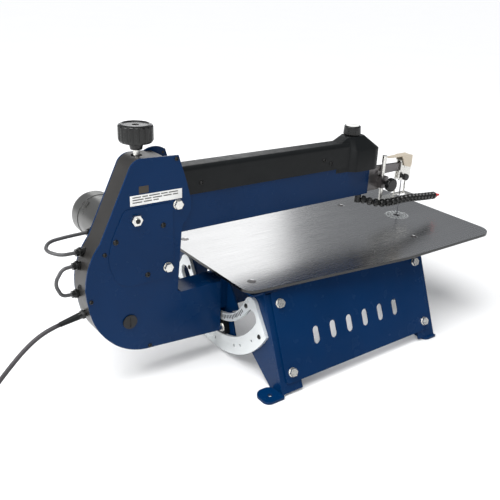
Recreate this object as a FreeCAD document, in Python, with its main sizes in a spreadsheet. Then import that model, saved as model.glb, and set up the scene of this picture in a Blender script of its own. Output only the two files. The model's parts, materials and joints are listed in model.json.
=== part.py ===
"""Bench scroll saw with a tilting C-frame head, a fixed steel table and parallel-link blade drive.

Frame, in millimetres: the origin is the centre of the four bolt holes in the feet, on the bench.
+X points to the operator, +Z up. The head tilts about a line along X in the table's upper face.
"""
import FreeCAD, Part
import math
import os
from types import SimpleNamespace

from FreeCAD import Placement, Rotation, Vector

doc = FreeCAD.newDocument("ScrollSaw")

# ---------------------------------------------------------------- driving dimensions
DRIVING = {
    "table_top": 177, "table_thick": 5, "table_front": 380, "table_rear": -209,
    "table_half": 172, "table_rear_half": 136, "table_taper_from": 124, "table_hole": 2,
    "blade_place": 274, "blade_width": 2.8, "blade_thick": 0.6,
    "base_mid": 15, "base_half": 188, "sheet": 3, "panel_low": 19, "panel_high": 163,
    "panel_half_length": 177, "panel_slope": 21.8, "bolt_inset": 163, "vent_width": 14,
    "foot_half_x": 190, "foot_half_y": 182, "foot_hole": 4,
    "ring_inner": 98, "ring_outer": 172, "slot_inner": 112, "slot_outer": 140, "ring_thick": 6,
    "gear_module": 2, "ring_teeth": 138, "pinion_teeth": 10,
    "plate_out": 22.5, "column_sheet": 3, "throat": -261,
    "arm_half": 16, "lower_arm_top": 145, "lower_arm_low": 88, "lower_arm_front": 236,
    "upper_arm_low": 248, "upper_arm_high": 312, "upper_arm_front": 160,
    "lift_pivot_x": -268, "lift_pivot_z": 299, "rocker_x": -287, "rocker_z": 196,
    "push_height": 66, "front_pivot_x": 188, "front_drop": 24, "rod_radius": 5,
    "motor_x": -337, "motor_z": 246, "motor_radius": 38, "eccentric_throw": 2.2,
    "tension_x": -324, "speed_x": 119, "speed_radius": 16.5,
    "hold_x": 197, "hold_y": -18, "hold_radius": 3.5, "cord_diameter": 7,
    "bolt_radius": 4, "bolt_flats": 7.5, "screw_radius": 2.5, "pin_radius": 3,
}
sheet = doc.addObject("Spreadsheet::Sheet", "Dimensions")
for row, (alias, value) in enumerate(DRIVING.items(), start=1):
    sheet.set(f"A{row}", alias.replace("_", " "))
    sheet.set(f"B{row}", str(value))
    sheet.setAlias(f"B{row}", alias)
doc.recompute()
D = SimpleNamespace(**{alias: float(sheet.get(alias)) for alias in DRIVING})

UNDERSIDE = D.table_top - D.table_thick
REAR_FACE = D.base_mid - D.base_half
FRONT_FACE = D.base_mid + D.base_half
SLOPE = math.tan(math.radians(D.panel_slope))
UPPER_ROD_Z = D.rocker_z + D.push_height
LOWER_ROD_Z = D.rocker_z - D.push_height
UPPER_PIVOT_Z = UPPER_ROD_Z + D.front_drop
LOWER_PIVOT_Z = LOWER_ROD_Z - D.front_drop
INNER = D.plate_out - D.column_sheet
NODES = {}
X_AXIS, Y_AXIS, Z_AXIS = Vector(1, 0, 0), Vector(0, 1, 0), Vector(0, 0, 1)


# ---------------------------------------------------------------- building helpers
def bind(item, prop, size):
    """Give a property a number, or bind it to a spreadsheet expression written in alias words."""
    if not isinstance(size, str):
        setattr(item, prop, size)
        return
    words = [f"Dimensions.{word}" if word in DRIVING else word for word in size.split()]
    item.setExpression(prop, " ".join(words))


def placed(base=(0, 0, 0), along=Z_AXIS):
    return Placement(Vector(*base), Rotation(Z_AXIS, Vector(*along)))


def node(name, item):
    """Register an object of the document as a sub-part under its own label."""
    item.Label = name
    NODES[name] = item
    return item


def cylinder(radius, height, base=(0, 0, 0), along=Z_AXIS):
    item = doc.addObject("Part::Cylinder", "Cylinder")
    bind(item, "Radius", radius)
    bind(item, "Height", height)
    item.Placement = placed(base, along)
    return item


def box(low, high):
    """An upright box between two opposite corners."""
    item = doc.addObject("Part::Box", "Box")
    item.Length, item.Width, item.Height = [b - a for a, b in zip(low, high)]
    item.Placement = placed(low)
    return item


def prism(sides, radius, height, base=(0, 0, 0), along=Z_AXIS):
    item = doc.addObject("Part::Prism", "Prism")
    item.Polygon = sides
    bind(item, "Circumradius", radius)
    bind(item, "Height", height)
    item.Placement = placed(base, along)
    return item


def cone(low_radius, high_radius, height, base=(0, 0, 0), along=Z_AXIS):
    item = doc.addObject("Part::Cone", "Cone")
    item.Radius1, item.Radius2, item.Height = low_radius, high_radius, height
    item.Placement = placed(base, along)
    return item


def fuse(*items):
    item = doc.addObject("Part::MultiFuse", "Fuse")
    item.Shapes = list(items)
    item.Refine = True
    return item


def cut(base, *tools):
    item = doc.addObject("Part::Cut", "Cut")
    item.Base = base
    item.Tool = tools[0] if len(tools) == 1 else fuse(*tools)
    item.Refine = True
    return item


def group(*items):
    item = doc.addObject("Part::Compound", "Group")
    item.Links = list(items)
    return item


def rounded(*corners):
    """A closed outline of lines and arcs; each corner is (x, y) or (x, y, radius)."""
    turns = []
    for index, corner in enumerate(corners):
        here = Vector(corner[0], corner[1], 0)
        radius = corner[2] if len(corner) > 2 else 0
        if not radius:
            turns.append((here, None, here))
            continue
        back = (Vector(*corners[index - 1][:2], 0) - here).normalize()
        ahead = (Vector(*corners[(index + 1) % len(corners)][:2], 0) - here).normalize()
        half = back.getAngle(ahead) / 2
        run = radius / math.tan(half)
        inward = (back + ahead).normalize() * (radius / math.sin(half) - radius)
        turns.append((here + back * run, here + inward, here + ahead * run))
    edges = []
    for index, (start, middle, end) in enumerate(turns):
        if middle is not None:
            edges.append(Part.Arc(start, middle, end))
        following = turns[(index + 1) % len(turns)][0]
        if (following - end).Length > 1e-6:
            edges.append(Part.LineSegment(end, following))
    return edges


def circle(x, y, radius):
    return [Part.Circle(Vector(x, y, 0), Z_AXIS, radius)]


def chain(*steps):
    """An outline from points; a step holding two points is an arc through the first to the second."""
    edges = []
    here = steps[0]
    for step in steps[1:]:
        if isinstance(step, tuple):
            edges.append(Part.Arc(here, step[0], step[1]))
            here = step[1]
        else:
            edges.append(Part.LineSegment(here, step))
            here = step
    return edges


def origin_plane(body, role):
    return next(f for f in body.Origin.OriginFeatures if f.Role == role)


def sketch_on(body, role, level, loops):
    """A sketch on one of the body's origin planes, raised to a level along the world axis."""
    drawing = body.newObject("Sketcher::SketchObject", "Outline")
    drawing.AttachmentSupport = [(origin_plane(body, role), "")]
    drawing.MapMode = "FlatFace"
    side = -1 if role == "XZ_Plane" else 1
    drawing.AttachmentOffset = Placement(Vector(0, 0, side * level), Rotation())
    for loop in loops:
        for edge in loop:
            drawing.addGeometry(edge, False)
    return drawing


def plate(role, level, depth, *loops):
    """A padded outline, with holes, that runs from a level towards the plus side of its axis."""
    body = doc.addObject("PartDesign::Body", "Plate")
    drawing = sketch_on(body, role, level, loops)
    pad = body.newObject("PartDesign::Pad", "Pad")
    pad.Profile = drawing
    bind(pad, "Length", depth)
    pad.Reversed = role == "XZ_Plane"
    return body


def turned(profile, base=(0, 0, 0), along=Z_AXIS):
    """A turned piece: (radius, height) corners revolved about the upright axis, then placed."""
    body = doc.addObject("PartDesign::Body", "Turned")
    drawing = sketch_on(body, "XZ_Plane", 0, [rounded(*profile)])
    spin = body.newObject("PartDesign::Revolution", "Revolution")
    spin.Profile = drawing
    spin.ReferenceAxis = (drawing, ["V_Axis"])
    spin.Angle = 360
    body.Placement = placed(base, along)
    return body


def ring_of_pockets(body, outline, count):
    """Cut an outline through a body and repeat the cut round the body's own Z axis."""
    drawing = sketch_on(body, "XY_Plane", 0, [outline])
    pocket = body.newObject("PartDesign::Pocket", "Pocket")
    pocket.Profile = drawing
    pocket.Type = "ThroughAll"
    pocket.Midplane = True
    pattern = body.newObject("PartDesign::PolarPattern", "Ring")
    pattern.Originals = [pocket]
    pattern.Axis = (drawing, ["N_Axis"])
    pattern.Angle = 360
    pattern.Occurrences = count
    body.Tip = pattern
    return body


def hex_bolt(base, along, length=14):
    """A hexagon bolt with its washer: base is on the clamped face, the shank runs back from it."""
    out = Vector(*along).normalize()
    start = Vector(*base)
    washer = cylinder("bolt_radius * 2", 1.4, start, out)
    head = prism(6, "bolt_flats", 5, start + out * 1.4, out)
    shank = cylinder(D.bolt_radius - 0.1, length, start - out * length, out)
    return fuse(washer, head, shank)


def button_screw(base, along, radius=4.5, length=6):
    """A domed socket screw: base is on the clamped face, the shank runs back from it."""
    out = Vector(*along).normalize()
    start = Vector(*base)
    dome = turned([(0, 0), (radius, 0), (radius * 0.85, 1.6, 0.6), (radius * 0.4, 2.6),
                   (radius * 0.4, 1.2), (0, 1.2)], start, out)
    shank = cylinder("screw_radius - 0.1", length, start - out * length, out)
    return fuse(dome, shank)


def polar(radius, angle):
    """A point about the tilt axis, in (Y, Z); the angle is from straight down towards +Y."""
    turn = math.radians(angle)
    return Vector(radius * math.sin(turn), D.table_top - radius * math.cos(turn), 0)


def sweep(radius, first, last):
    return polar(radius, (first + last) / 2), polar(radius, last)


# ---------------------------------------------------------------- base
def panel_edge(height):
    """Half width of the side panels' outer face at a height; they lean outwards to the bench."""
    return 130 + (173 - height) * SLOPE


def arc_slot(inner, outer, reach):
    """A curved slot about the tilt axis with round ends."""
    middle = (inner + outer) / 2
    turn = math.degrees((outer - inner) / 2 / middle)
    return chain(polar(inner, -reach), sweep(inner, -reach, reach),
                 (polar(middle, reach + turn), polar(outer, reach)), sweep(outer, reach, -reach),
                 (polar(middle, -reach - turn), polar(inner, -reach)))


def end_panel(name, face, outward):
    """One pressed end of the base: a U round the head's arm, with flanges and two feet."""
    thick = D.sheet
    low = min(face, face - outward * thick)
    lip = panel_edge(165) - 3.3
    toe = panel_edge(0) - 3.3
    gap = D.ring_inner - 1
    reach = math.degrees(math.acos((D.table_top - 165) / gap))
    outline = chain(Vector(toe, 0, 0), Vector(lip, 165, 0), polar(gap, reach),
                    sweep(gap, reach, -reach), Vector(-lip, 165, 0), Vector(-toe, 0, 0),
                    Vector(-160, 0, 0), polar(168, -37), sweep(168, -37, 37), Vector(160, 0, 0),
                    Vector(toe, 0, 0))
    slot = arc_slot(D.slot_inner - 1, D.slot_outer + 2, 58)
    holes = [circle(*polar(radius, angle)[:2], 2.6) for radius, angle in SCREW_PLACES]
    web = plate("YZ_Plane", low, "sheet", outline, slot, *holes)
    pieces = [web]
    for side in (-1, 1):
        top = sorted((side * gap, side * lip))
        shelf = sorted((face - outward * thick, face + outward * 22))
        pieces.append(box((shelf[0], top[0], 162), (shelf[1], top[1], 165)))
        pieces.append(foot_tab(-36 if outward < 0 else -31, face, side))
        pieces.append(side_flange(face, outward, side))
    shell = fuse(*pieces)
    bores = [cylinder("foot_hole", 8, (sign_of(face) * D.foot_half_x, side * D.foot_half_y, -2))
             for side in (-1, 1)]
    for side in (-1, 1):
        bores.append(cylinder(3.2, 8, (face + outward * 7, side * 106, 160)))
        for x, y, z in panel_bolt_places():
            if x * outward > 0 and y * side > 0:
                normal = panel_normal(side)
                bores.append(cylinder("bolt_radius", 16, Vector(x, y, z) - normal * 12, normal))
    return node(name, cut(shell, *bores))


def sign_of(number):
    return 1 if number > 0 else -1


def panel_normal(side):
    lean = math.radians(D.panel_slope)
    return Vector(0, side * math.cos(lean), math.sin(lean))


def foot_tab(length, face, side):
    """The rounded ear that a bench bolt goes through."""
    ends = sorted((face, face + length))
    sides = sorted((side * 160, side * 200))
    return plate("XY_Plane", 0, 4, rounded((ends[0], sides[0], 12), (ends[1], sides[0], 1),
                                           (ends[1], sides[1], 12), (ends[0], sides[1], 17)))


def side_flange(face, outward, side):
    """The folded strip that the side panel is bolted to, leaning with it."""
    near = sorted((face, face - outward * 43))
    back = 3.3
    corners = [(side * (panel_edge(z) - back - depth), z)
               for z, depth in ((4, 0), (160, 0), (160, 3.2), (4, 3.2))]
    return plate("YZ_Plane", near[0], near[1] - near[0], rounded(*corners))


def panel_bolt_places():
    return [(D.base_mid + end * D.bolt_inset, side * panel_edge(z), z)
            for side in (-1, 1) for end in (-1, 1) for z in (144, 35)]


def side_panel(name, side):
    """A flat sheet with a row of upright slots, bolted to both end panels."""
    lean = math.cos(math.radians(D.panel_slope))
    slant = (D.panel_high - D.panel_low) / lean
    ends = (D.base_mid - D.panel_half_length, D.base_mid + D.panel_half_length)
    outline = rounded((ends[0], 0, 5), (ends[1], 0, 5), (ends[1], slant, 4), (ends[0], slant, 4))
    half = D.vent_width / 2
    vents = [rounded((x - half, 48, half - 0.01), (x + half, 48, half - 0.01),
                     (x + half, 79, half - 0.01), (x - half, 79, half - 0.01))
             for x in (-84 + 38.4 * step for step in range(6))]
    bores = [circle(D.base_mid + end * D.bolt_inset, (z - D.panel_low) / lean, D.bolt_radius + 0.2)
             for end in (-1, 1) for z in (144, 35)]
    body = plate("XZ_Plane", 0 if side < 0 else -D.sheet, "sheet", outline, *vents, *bores)
    lean_turn = Rotation(X_AXIS, side * D.panel_slope)
    body.Placement = Placement(Vector(0, side * panel_edge(D.panel_low), D.panel_low), lean_turn)
    return node(name, body)


SCREW_PLACES = [(105, -60.7), (105, 60.7), (160, -55), (160, 55)]
DETENTS = [-45, -30, -22.5, 0, 22.5, 30, 45]


def ring_outline():
    """A crescent about the tilt axis with rounded horns."""
    inner, outer = D.ring_inner, D.ring_outer
    return chain(polar(inner, -66), sweep(inner, -66, 66),
                 (Vector(104, 146, 0), Vector(120, 134, 0)), polar(outer, 60),
                 sweep(outer, 60, -60), Vector(-120, 134, 0), (Vector(-104, 146, 0), polar(inner, -66)))


def rack_slot():
    """The front crescent's slot: its outer edge is an internal gear rack."""
    pitch = D.gear_module * D.ring_teeth / 2
    step = 360 / D.ring_teeth
    tip, root = pitch - 0.8 * D.gear_module, pitch + 1.25 * D.gear_module
    points = [polar(D.slot_inner, 58)]
    count = 44
    for tooth in range(-count // 2, count // 2):
        middle = (tooth + 0.5) * step
        points += [polar(root, middle - 0.40 * step), polar(tip, middle - 0.14 * step),
                   polar(tip, middle + 0.14 * step), polar(root, middle + 0.40 * step)]
    middle_radius = (D.slot_inner + pitch) / 2
    points += [(polar(middle_radius, 63), polar(D.slot_inner, 58)), sweep(D.slot_inner, 58, -58)]
    start = points[1]
    return chain(*points[1:-2], points[-2], points[-1], (polar(middle_radius, -63), start))


def trunnion_plates():
    screws = [circle(*polar(radius, angle)[:2], D.screw_radius + 0.1)
              for radius, angle in SCREW_PLACES]
    stops = [circle(*polar(155.5, angle)[:2], 2.5) for angle in DETENTS]
    rear = plate("YZ_Plane", REAR_FACE - D.ring_thick, "ring_thick", ring_outline(),
                 arc_slot(D.slot_inner, D.slot_outer, 58), *screws, *stops)
    node("rear_trunnion_plate", rear)
    front = plate("YZ_Plane", FRONT_FACE, "ring_thick", ring_outline(), rack_slot(), *screws, *stops)
    node("front_trunnion_plate", front)
    fixings = []
    for face, out in ((REAR_FACE - D.ring_thick, -1), (FRONT_FACE + D.ring_thick, 1)):
        for radius, angle in SCREW_PLACES:
            y, z, _ = polar(radius, angle)
            fixings.append(button_screw((face, y, z), (out, 0, 0), 4.2, 8))
    node("trunnion_screws", group(*fixings))


def table():
    """The fixed table: wide in front, tapering to the rear, with a ring of dust holes."""
    front, rear, wide, narrow = D.table_front, D.table_rear, D.table_half, D.table_rear_half
    outline = rounded((front, -wide, 34), (front, wide, 34), (D.table_taper_from, wide, 200),
                      (rear, narrow, 24), (rear, -narrow, 24), (D.table_taper_from, -wide, 200))
    bores = [circle(x, y, 3.3) for x, y in table_screw_places()]
    x = D.blade_place
    blade_hole = rounded((x - 3, -7.5, 2.9), (x + 3, -7.5, 2.9), (x + 3, 7.5, 2.9), (x - 3, 7.5, 2.9))
    dust = [circle(D.blade_place + radius * math.cos(turn), radius * math.sin(turn), D.table_hole)
            for radius, count in ((11, 10), (17, 16), (23, 22))
            for turn in (2 * math.pi * index / count for index in range(count))]
    body = plate("XY_Plane", UNDERSIDE, "table_thick", outline, blade_hole, *bores, *dust)
    sinks = [cone(3.3, 7.3, 3.6, (x, y, D.table_top - 3.5)) for x, y in table_screw_places()]
    node("table", cut(body, *sinks))
    heads = [fuse(cone(3, 6.4, 3.1, (x, y, D.table_top - 3.3)),
                  cylinder("screw_radius + 0.4", 20, (x, y, D.table_top - 23)))
             for x, y in table_screw_places()]
    node("table_screws", group(*heads))
    spacers = [cut(cylinder(7, UNDERSIDE - 165, (x, y, 165)), cylinder(3.3, 9, (x, y, 164)))
               for x, y in table_screw_places()]
    node("table_spacers", group(*spacers))


def table_screw_places():
    return [(D.base_mid + end * 195, side * 106) for end in (-1, 1) for side in (-1, 1)]


def base():
    end_panel("rear_end_panel", REAR_FACE, -1)
    end_panel("front_end_panel", FRONT_FACE, 1)
    side_panel("near_side_panel", -1)
    side_panel("far_side_panel", 1)
    bolts = [hex_bolt((x, y, z), panel_normal(sign_of(y)), 12) for x, y, z in panel_bolt_places()]
    node("side_panel_bolts", group(*bolts))
    trunnion_plates()
    table()


# ---------------------------------------------------------------- head frame
def point(x, z):
    return Vector(x, z, 0)


def column_outline():
    """The C-frame's side shape, in (X, Z), from the top corner round the back to the lower arm."""
    throat = D.throat
    return chain(point(-327, 379), point(-265, 377), point(-252, 336), point(-243, 301),
                 point(-243, 290), (point(-249, 275), point(-258, 264)), point(throat, 250),
                 point(-269, 149), point(-262, D.lower_arm_top),
                 point(COLUMN_END, D.lower_arm_top), point(COLUMN_END, 48), point(-318, 57),
                 (point(-357, 65), point(-390, 89)), (point(-411, 119), point(-421, 155)),
                 (point(-423, 203), point(-398, 257)), point(-348, 363),
                 (point(-340, 374), point(-327, 379)))


COLUMN_END = -184
COVER_SHEET = 1.2
GLAND_RADIUS = 5.6
LEVEL_BACK = (-1, 0, 0)
DOWN_BACK = (-0.9806, 0, -0.1961)
BAND_GLANDS = [((-415.2, 10, 238), LEVEL_BACK), ((-422, 8, 218), LEVEL_BACK),
               ((-426, 8, 172), LEVEL_BACK), ((-421.5, 0, 138.5), DOWN_BACK)]
MOTOR_GLAND = ((-375.1, 60, 246), LEVEL_BACK)
FRAME_BOLTS = [(D.lift_pivot_x, D.lift_pivot_z), (D.rocker_x, D.rocker_z)]
STUD = (-340, 286)
COVER_SCREWS = [(-294, 269), (-374, 256), (-323, 191)]
EDGE_SCREWS = [(-392, 239), (-417.6, 167), (-322, 61.6), (-269, 372)]
BAND_SCREW = (-424.8, 0, 185)
PLUG = (-356, 116)


def column():
    near_holes = [circle(x, z, 6.2) for x, z in FRAME_BOLTS] + [circle(*STUD, 5.2)]
    near_holes += [circle(*PLUG, 9)]
    near_holes += [circle(x, z, D.screw_radius) for x, z in COVER_SCREWS + EDGE_SCREWS]
    node("column_near_plate", plate("XZ_Plane", -D.plate_out, "column_sheet", column_outline(),
                                    *near_holes))
    far_holes = [circle(x, z, 6.2) for x, z in FRAME_BOLTS] + [circle(D.motor_x, D.motor_z, 9)]
    far_holes += [circle(x, z, D.screw_radius) for x, z in EDGE_SCREWS]
    far = plate("XZ_Plane", INNER, "column_sheet", column_outline(), *far_holes)
    lug = plate("XZ_Plane", INNER, "column_sheet",
                chain(point(-303, 377), (point(-284, 383), point(-264, 376.5)), point(-303, 377)))
    node("column_far_plate", fuse(far, lug))


def rear_band():
    """The strip that closes the column round its top, back and bottom."""
    thick = D.column_sheet
    outer = [point(-290, 377.5), point(-327, 379), (point(-340, 374), point(-348, 363)),
             point(-398, 257), (point(-423, 203), point(-421, 155)),
             (point(-411, 119), point(-390, 89)), (point(-357, 65), point(-318, 57)),
             point(COLUMN_END, 48)]
    inner = [point(COLUMN_END, 48 + thick), point(-317.6, 57 + thick),
             (point(-355.5, 67.8), point(-387.8, 91.2)), (point(-408.2, 120.2), point(-418, 155)),
             (point(-420, 202.5), point(-395.2, 255.6)), point(-345.3, 361.6),
             (point(-338.4, 371.2), point(-326.6, 376)), point(-290, 374.5)]
    strip = plate("XZ_Plane", -INNER, "plate_out * 2 - column_sheet * 2",
                  chain(*outer, *inner, point(-290, 377.5)))
    bores = [cylinder(GLAND_RADIUS + 0.1, 30, Vector(*base) - Vector(*along) * 20, Vector(*along))
             for base, along in BAND_GLANDS]
    bores.append(cylinder("screw_radius", 12, (-430, 0, BAND_SCREW[2]), X_AXIS))
    node("column_rear_band", cut(strip, cylinder(8.5, 30, (D.tension_x, 0, 360)), *bores))


def mechanism_cover():
    """The embossed panel on the column's near side."""
    cover = plate("XZ_Plane", -D.plate_out - COVER_SHEET, COVER_SHEET,
                  rounded((-358, 304, 14), (-379, 262, 40), (-388, 226, 50), (-372, 178, 34),
                          (-276, 178, 30), (-276, 304, 12)),
                  *[circle(x, z, D.screw_radius) for x, z in COVER_SCREWS], circle(*STUD, 5.2))
    clear = [cylinder(8.4, 6, (x, -D.plate_out - 4, z), Y_AXIS) for x, z in FRAME_BOLTS]
    node("mechanism_cover", cut(cover, *clear))


def frame_fixings(slide_bolt):
    out = -D.plate_out
    cross = [fuse(cylinder("bolt_radius * 2", 1.6, (x, out - 1.6, z), Y_AXIS),
                  prism(6, "bolt_flats", 5.5, (x, out - 7.1, z), Y_AXIS),
                  cylinder(6, 45, (x, out, z), Y_AXIS),
                  prism(6, "bolt_flats", 6, (x, -out, z), Y_AXIS))
             for x, z in FRAME_BOLTS]
    x, z = STUD
    stud = fuse(cylinder("bolt_radius + 1", 20, (x, out - 9, z), Y_AXIS),
                prism(6, "bolt_flats + 1.5", 6, (x, out - 7.2, z), Y_AXIS))
    x = D.tension_x
    nut = cut(cylinder(8, 34, (x, -17, 364), Y_AXIS), cylinder(5.1, 20, (x, 0, 354)))
    node("frame_bolts", group(*cross, stud, slide_bolt, nut))
    face = out - COVER_SHEET
    screws = [button_screw((x, face, z), (0, -1, 0), 4.5, 5) for x, z in COVER_SCREWS]
    screws += [button_screw((x, side * -out, z), (0, side, 0), 3.5, 2.9)
               for x, z in EDGE_SCREWS for side in (-1, 1)]
    screws.append(button_screw(BAND_SCREW, (-1, 0, 0), 4.5, 6))
    x, z = PLUG
    plug = cut(fuse(cylinder(12, 2.2, (x, out - 2.2, z), Y_AXIS), cylinder(8.8, 6, (x, out, z), Y_AXIS)),
               box((x - 1, out - 4, z - 8), (x + 1, out - 1.2, z + 8)))
    node("column_screws", group(*screws, plug))
    node("warning_label", box((-348, out - 0.35, 308), (-260, out, 324)))


def lower_arm():
    """An inverted channel from the column to the blade, wider where the column plates grip it."""
    half, top, low = D.arm_half, D.lower_arm_top, D.lower_arm_low
    neck = cut(box((-240, -half, low), (D.lower_arm_front, half, top)),
               box((-241, 3 - half, low - 1), (D.lower_arm_front + 1, half - 3, top - 3)))
    root = cut(box((-262, -INNER, low), (-184, INNER, top)),
               box((-263, 3 - half, low - 1), (-183, half - 3, top - 3)))
    channel = fuse(neck, root)
    bores = [cylinder("pin_radius + 1.05", 60, (D.front_pivot_x, -30, LOWER_PIVOT_Z), Y_AXIS)]
    node("lower_arm", cut(channel, *bores))


def tilt_sectors():
    """Plates on the head that ride inside the end panels, round the arm."""
    shapes = []
    half = D.arm_half + 0.2
    for low, extra in ((REAR_FACE + 4.5, SLIDE_ANGLE), (FRONT_FACE - 8, LOCK_ANGLE)):
        outline = chain(Vector(half, D.lower_arm_top, 0), polar(62, 34), polar(96.5, 34),
                        sweep(96.5, 34, 19), polar(146, 19), sweep(146, 19, -19),
                        polar(96.5, -19), sweep(96.5, -19, -34), polar(62, -34),
                        Vector(-half, D.lower_arm_top, 0), Vector(-half, D.lower_arm_low, 0),
                        Vector(half, D.lower_arm_low, 0), Vector(half, D.lower_arm_top, 0))
        holes = [circle(*polar(126, extra)[:2], 5.1)]
        if extra > 0:
            holes.append(circle(*polar(PINION_ORBIT, 0)[:2], 4.1))
        shapes.append(plate("YZ_Plane", low, 3.5, outline, *holes))
    node("tilt_sector_plates", group(*shapes))
    first, last = SLIDE_ANGLE - 3, SLIDE_ANGLE + 3
    block = chain(polar(113.5, first), sweep(113.5, first, last), polar(138.5, last),
                  sweep(138.5, last, first), polar(113.5, first))
    y, z, _ = polar(126, SLIDE_ANGLE)
    node("rear_slide_block", plate("YZ_Plane", REAR_FACE - D.ring_thick - 0.5, 11, block,
                                   circle(y, z, 5)))
    return fuse(prism(6, "bolt_flats", 3.2, (REAR_FACE - 10.6, y, z), X_AXIS),
                cylinder("bolt_radius * 2", 1, (REAR_FACE - 7.5, y, z), X_AXIS),
                cylinder(4.9, 16, (REAR_FACE - 7, y, z), X_AXIS))


SLIDE_ANGLE, LOCK_ANGLE = -10, 12
PINION_ORBIT = D.gear_module * (D.ring_teeth - D.pinion_teeth) / 2


def tilt_drive():
    """The pinion that climbs the rack, its knob, and the lever that locks the tilt."""
    pitch = D.gear_module * D.pinion_teeth / 2
    tip, root = pitch + 0.75 * D.gear_module, pitch - 1.3 * D.gear_module
    step = 2 * math.pi / D.pinion_teeth
    _, z, _ = polar(PINION_ORBIT, 0)
    corners = []
    for tooth in range(int(D.pinion_teeth)):
        middle = -math.pi / 2 + tooth * step
        for radius, share in ((root, -0.30), (tip, -0.09), (tip, 0.09), (root, 0.30)):
            turn = middle + share * step
            corners.append((radius * math.cos(turn), z + radius * math.sin(turn)))
    gear = plate("YZ_Plane", FRONT_FACE - 0.5, 7.5, rounded(*corners))
    shaft = cylinder(4, 54, (FRONT_FACE - 12, 0, z), X_AXIS)
    node("tilt_pinion", fuse(gear, shaft))
    knob = turned([(4, 0), (9, 0), (9, 6), (20, 9, 2), (20, 24, 3), (4, 24)])
    ring_of_pockets(knob, circle(22, 0, 4), 8)
    knob.Placement = placed((FRONT_FACE + 16, 0, z), X_AXIS)
    node("tilt_knob", knob)
    y, z, _ = polar(126, LOCK_ANGLE)
    hub = cylinder(8.5, 14, (FRONT_FACE + 8, y, z), X_AXIS)
    bolt = cylinder(5, 22, (FRONT_FACE - 9, y, z), X_AXIS)
    arm = cone(4.5, 6, 46, (FRONT_FACE + 16, y + 5, z), (0, 1, 0.15))
    node("tilt_lock_lever", fuse(hub, bolt, arm))


# ---------------------------------------------------------------- drive
def motor():
    x, z, out = D.motor_x, D.motor_z, D.plate_out
    shell = turned([(6, 0), (44, 0), (44, 5), (38, 8), (38, 96, 2), (6, 96)], (x, out, z), Y_AXIS)
    holders = []
    for side in (-1, 1):
        seat, aim = (x, out + 87, z), (side * -0.68, 0, side * 0.73)
        holders.append(cylinder(7.5, 40.5, seat, aim))
        holders.append(cut(cylinder(6, 42, seat, aim), cylinder(4, 44, seat, aim)))
    node("motor_body", fuse(shell, *holders))
    node("motor_end_cap", turned([(0, 0), (38.6, 0), (38.6, 22, 2), (34, 34, 8), (0, 36)],
                                 (x, out + 96, z), Y_AXIS))
    shaft = cylinder(5.5, 40, (x, 4, z), Y_AXIS)
    throw = cylinder(12, 10, (x, 8, z + D.eccentric_throw), Y_AXIS)
    node("motor_shaft", fuse(shaft, throw))


def rocker():
    """The rear bell crank that drives both push rods, with the link that reaches the eccentric."""
    x, z, reach = D.rocker_x, D.rocker_z, D.push_height
    outline = rounded((x - 9, z - reach - 9, 8), (x + 9, z - reach - 9, 8), (x + 15, z, 20),
                      (x + 9, z + reach + 9, 8), (x - 9, z + reach + 9, 8), (x - 15, z, 20))
    web = plate("XZ_Plane", -3.5, 7, outline)
    hub = cylinder(12, 26, (x, -13, z), Y_AXIS)
    pins = [cylinder("pin_radius", 23, (x, -11.5, z + side * reach), Y_AXIS) for side in (-1, 1)]
    lug = cylinder(5, 12, (x - 11, -6, D.motor_z), Y_AXIS)
    node("rear_rocker", cut(fuse(web, hub, lug, *pins), cylinder(6.05, 60, (x, -30, z), Y_AXIS)))
    ring = cut(cylinder(22, 10, (D.motor_x, 8, D.motor_z), Y_AXIS),
               cylinder(18, 12, (D.motor_x, 7, D.motor_z), Y_AXIS))
    return ring


def push_rod(name, z):
    """A long rod with a wide eye at the rocker and a fork at the front bell crank."""
    rear, front = D.rocker_x, D.front_pivot_x
    rod = cylinder("rod_radius", front - rear - 50, (rear + 20, 0, z), X_AXIS)
    eyes = []
    for side in (-1, 1):
        low = 5.5 if side > 0 else -9.5
        eye = plate("XZ_Plane", low, 4, circle(rear, z, 13), circle(rear, z, 9.5))
        bar = box((rear + 12, low, z - 5), (rear + 26, low + 4, z + 5))
        cheek = plate("XZ_Plane", 4.2 if side > 0 else -7.2, 3, rounded(
            (front - 34, z - 5), (front + 6, z - 5, 4), (front + 6, z + 5, 4), (front - 34, z + 5)),
            circle(front, z, D.pin_radius + 0.7))
        eyes += [eye, bar, cheek]
    bridge = box((rear + 18, -9.5, z - 5), (rear + 26, 9.5, z + 5))
    yoke = box((front - 34, -7.2, z - 5), (front - 28, 7.2, z + 5))
    node(name, fuse(rod, bridge, yoke, *eyes))


def front_rocker(name, pivot_z, rod_z):
    """The front bell crank: a short arm at the rod and a long arm at the blade."""
    x, tip = D.front_pivot_x, D.blade_place
    down = 1 if rod_z > pivot_z else -1
    long_arm = plate("XZ_Plane", -3.5, 7, rounded(
        (x - 10, pivot_z + 10, 8), (tip + 7, pivot_z + 7, 6.9), (tip + 7, pivot_z - 7, 6.9),
        (x - 10, pivot_z - 10, 8)), circle(tip, pivot_z, D.pin_radius + 0.8))
    short = sorted((pivot_z, rod_z + down * 6))
    short_arm = plate("XZ_Plane", -3.5, 7, rounded((x - 6, short[0], 2), (x + 6, short[0], 2),
                                                   (x + 6, short[1], 2), (x - 6, short[1], 2)))
    pins = [cylinder("pin_radius + 1", 2 * D.arm_half, (x, -D.arm_half, pivot_z), Y_AXIS),
            cylinder("pin_radius", 14.6, (x, -7.3, rod_z), Y_AXIS)]
    node(name, fuse(long_arm, short_arm, *pins))


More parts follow.
